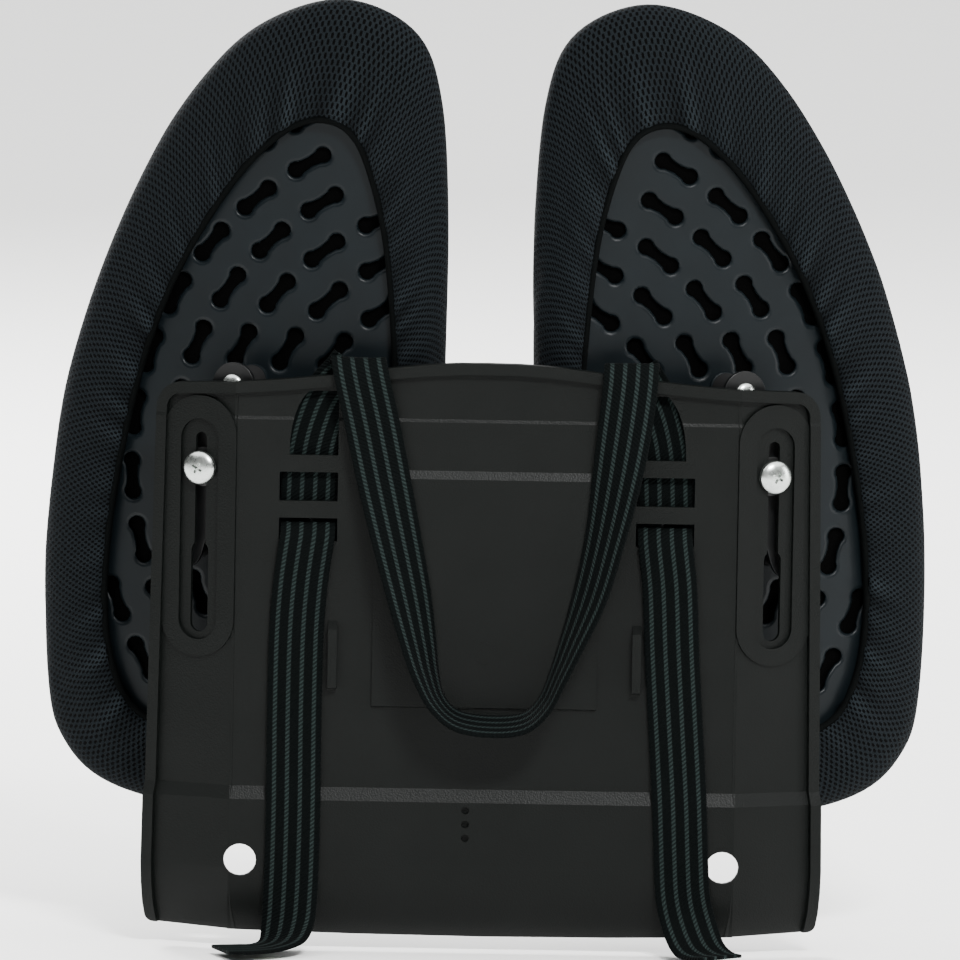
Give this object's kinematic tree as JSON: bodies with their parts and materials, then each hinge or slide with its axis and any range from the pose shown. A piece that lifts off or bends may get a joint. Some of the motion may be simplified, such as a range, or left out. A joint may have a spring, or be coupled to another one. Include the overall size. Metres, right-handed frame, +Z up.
{
  "type": "twin-wing chair back support",
  "caption": "Strap-on chair back support: a moulded back panel carrying padded, perforated wings on bolted arms that slide, tilt and flex behind the sitter's back.",
  "frame": {"origin": "middle of the small round mark on the panel's rear face, which bears on the chair's backrest", "axes": "+Z up, +Y towards the sitter, +X to the right when seen from behind the chair"},
  "size_m": [0.4038, 0.1421, 0.4337],
  "materials": {
    "moulded_panel": "fine leather-grain moulded black polypropylene",
    "webbing": "black woven elastic webbing with thin grey-green stripes",
    "bright_zinc": "bright zinc-plated steel",
    "nylon": "black nylon",
    "black_steel": "black coated steel",
    "rubber": "moulded black rubber",
    "wing_plastic": "smooth blue-black moulded plastic",
    "foam": "charcoal polyurethane foam",
    "air_mesh": "black knitted air mesh",
    "elastic_hem": "black elastic cord"
  },
  "bodies": {
    "panel": {"back_panel": "moulded_panel", "strap_loop": "webbing", "strap_tail_left": "webbing", "strap_tail_right": "webbing"},
    "left_clamp": {"left_clamp_bolt": "bright_zinc", "left_bolt_washer": "bright_zinc", "left_slider_disc": "nylon", "left_clamp_nut": "bright_zinc"},
    "left_arm_set": {"left_arm": "black_steel", "left_upper_arm_screw": "bright_zinc", "left_lower_arm_screw": "bright_zinc"},
    "left_wing": {"left_upper_buffer": "rubber", "left_lower_buffer": "rubber", "left_upper_shell_screw": "bright_zinc", "left_lower_shell_screw": "bright_zinc", "left_wing_shell": "wing_plastic", "left_wing_foam": "foam", "left_wing_cover": "air_mesh", "left_wing_hem_cord": "elastic_hem"},
    "right_clamp": {"right_clamp_bolt": "bright_zinc", "right_bolt_washer": "bright_zinc", "right_slider_disc": "nylon", "right_clamp_nut": "bright_zinc"},
    "right_arm_set": {"right_arm": "black_steel", "right_upper_arm_screw": "bright_zinc", "right_lower_arm_screw": "bright_zinc"},
    "right_wing": {"right_upper_buffer": "rubber", "right_lower_buffer": "rubber", "right_upper_shell_screw": "bright_zinc", "right_lower_shell_screw": "bright_zinc", "right_wing_shell": "wing_plastic", "right_wing_foam": "foam", "right_wing_cover": "air_mesh", "right_wing_hem_cord": "elastic_hem"}
  },
  "joints": [
    {"name": "left_height", "type": "slide", "parent": "panel", "child": "left_clamp", "axis": [0, 0, 1], "range_m": [-0.035, 0.013]},
    {"name": "left_tilt", "type": "hinge", "parent": "left_clamp", "child": "left_arm_set", "pos_m": [-0.13113, 0.00852, 0.0823], "axis": [0.3746, 0.9272, 0], "range_deg": [-4, 4]},
    {"name": "left_flex", "type": "hinge", "parent": "left_arm_set", "child": "left_wing", "pos_m": [-0.12699, 0.01876, 0.0823], "axis": [0.2834, -0.1145, 0.9521], "range_deg": [-2, 4], "stiffness_Nm_per_rad": 6},
    {"name": "right_height", "type": "slide", "parent": "panel", "child": "right_clamp", "axis": [0, 0, 1], "range_m": [-0.035, 0.013]},
    {"name": "right_tilt", "type": "hinge", "parent": "right_clamp", "child": "right_arm_set", "pos_m": [0.13113, 0.00852, 0.0823], "axis": [0.3746, -0.9272, 0], "range_deg": [-4, 4]},
    {"name": "right_flex", "type": "hinge", "parent": "right_arm_set", "child": "right_wing", "pos_m": [0.12699, 0.01876, 0.0823], "axis": [0.2834, 0.1145, -0.9521], "range_deg": [-2, 4], "stiffness_Nm_per_rad": 6}
  ]
}
